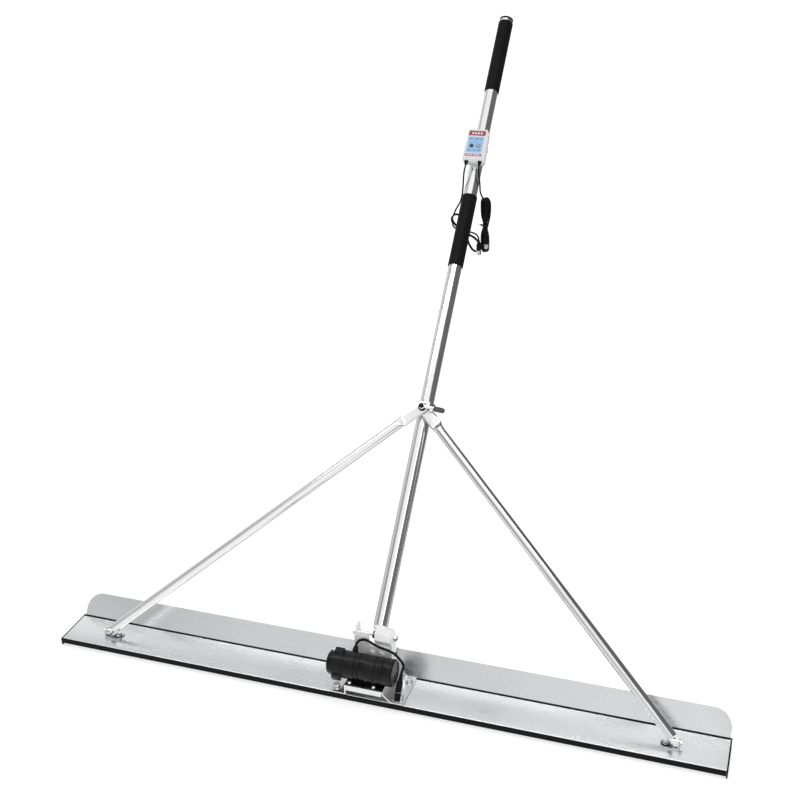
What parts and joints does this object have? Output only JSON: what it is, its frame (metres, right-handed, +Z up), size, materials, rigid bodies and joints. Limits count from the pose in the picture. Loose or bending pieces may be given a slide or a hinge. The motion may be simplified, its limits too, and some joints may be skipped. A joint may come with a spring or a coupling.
{
  "type": "power screed",
  "caption": "Hand-held electric power screed: a long folded steel blade with a vibration motor on a bridge, a leaning pole with grips and a controller, and tied side braces.",
  "frame": {"origin": "centre of the blade's sole, on the floor", "axes": "+X along the blade towards its right end, +Y back towards the operator, +Z up"},
  "size_m": [1.5, 1.1837, 1.2638],
  "materials": {
    "stainless": "satin cold-rolled stainless sheet",
    "bright_steel": "bright plated steel",
    "zinc_steel": "zinc plated steel",
    "cast_alloy": "cast, matt",
    "dark_steel": "dark machined steel",
    "black_paint": "semi-gloss black paint",
    "black_plastic": "moulded, matt",
    "black_rubber": "soft, matt",
    "cord_jacket": "smooth cord jacket",
    "box_plastic": "light grey moulded case",
    "button_dark": "dark moulded",
    "button_grey": "grey moulded",
    "winding": "laminated core with windings"
  },
  "bodies": {
    "blade": {"blade_shell": "stainless", "front_strip": "black_paint", "seam_strip": "black_rubber", "end_cap_left": "black_plastic", "end_cap_right": "black_plastic", "motor_bridge": "bright_steel", "bridge_bolt_1": "zinc_steel", "bridge_bolt_2": "zinc_steel", "bridge_bolt_3": "zinc_steel", "bridge_bolt_4": "zinc_steel", "motor_housing": "black_paint", "motor_cap_left": "black_paint", "motor_cap_right": "black_paint", "motor_gland": "black_plastic", "foot_bolt_1": "bright_steel", "foot_bolt_2": "bright_steel", "stator": "winding", "bearing_left": "zinc_steel", "bearing_right": "zinc_steel", "tilt_bracket": "zinc_steel", "tilt_bolt_1": "bright_steel", "tilt_bolt_2": "bright_steel", "pivot_bolt": "zinc_steel", "pivot_nut": "zinc_steel", "pivot_lock_nut": "dark_steel", "brace_lug_left": "zinc_steel", "brace_lug_right": "zinc_steel", "brace_pivot_left": "zinc_steel", "brace_pivot_right": "zinc_steel", "lug_screw_left": "zinc_steel", "lug_screw_right": "zinc_steel", "motor_lead": "cord_jacket", "motor_connector": "black_plastic"},
    "rotor": {"rotor_shaft": "zinc_steel", "rotor_core": "dark_steel", "eccentric_weight_left": "dark_steel", "eccentric_weight_right": "dark_steel"},
    "handle": {"pole_yoke": "cast_alloy", "pole_tube": "bright_steel", "grip_lower": "black_rubber", "grip_upper": "black_rubber", "pole_cap": "black_plastic", "controller_back": "box_plastic", "controller_front": "box_plastic", "controller_clamp": "zinc_steel", "lead_gland_left": "black_plastic", "lead_gland_right": "black_plastic", "lead_left": "cord_jacket", "lead_right": "cord_jacket", "hank_left": "cord_jacket", "hank_right": "cord_jacket", "lead_plug_left": "black_plastic", "lead_plug_right": "black_plastic"},
    "clamp": {"junction_clamp": "zinc_steel", "junction_bolt": "dark_steel"},
    "lever": {"junction_lever": "bright_steel"},
    "braces": {"brace_left": "bright_steel", "brace_right": "bright_steel"},
    "power_button": {"button_power": "button_dark"},
    "speed_button": {"button_speed": "button_grey"}
  },
  "joints": [
    {"name": "handle_tilt", "type": "hinge", "parent": "blade", "child": "handle", "pos_m": [0, 0.0445, 0.1152], "axis": [-1, 0, 0], "range_deg": [-6, 10]},
    {"name": "brace_tilt", "type": "hinge", "parent": "blade", "child": "braces", "pos_m": [0, -0.01, 0.03], "axis": [-1, 0, 0], "range_deg": [-5.04, 8.39]},
    {"name": "clamp_slide", "type": "slide", "parent": "handle", "child": "clamp", "axis": [0, 0.6858, 0.7278], "range_m": [-0.00153, 0.00255]},
    {"name": "lever_turn", "type": "hinge", "parent": "clamp", "child": "lever", "pos_m": [0, 0.37081, 0.51397], "axis": [0, -0.7278, 0.6858], "range_deg": [0, 120]},
    {"name": "rotor_spin", "type": "hinge", "parent": "blade", "child": "rotor", "pos_m": [0, -0.0185, 0.0725], "axis": [1, 0, 0], "continuous": true},
    {"name": "power_press", "type": "slide", "parent": "handle", "child": "power_button", "axis": [0, 0.7278, -0.6858], "range_m": [0, 0.0015], "stiffness_N_per_m": 600, "springref_m": -0.0005},
    {"name": "speed_press", "type": "slide", "parent": "handle", "child": "speed_button", "axis": [0, 0.7278, -0.6858], "range_m": [0, 0.0015], "stiffness_N_per_m": 600, "springref_m": -0.0005}
  ],
  "couplings": [
    {"joint": "brace_tilt", "follows": "handle_tilt", "ratio": 0.8385},
    {"joint": "clamp_slide", "follows": "handle_tilt", "m_per_rad": 0.0145}
  ]
}
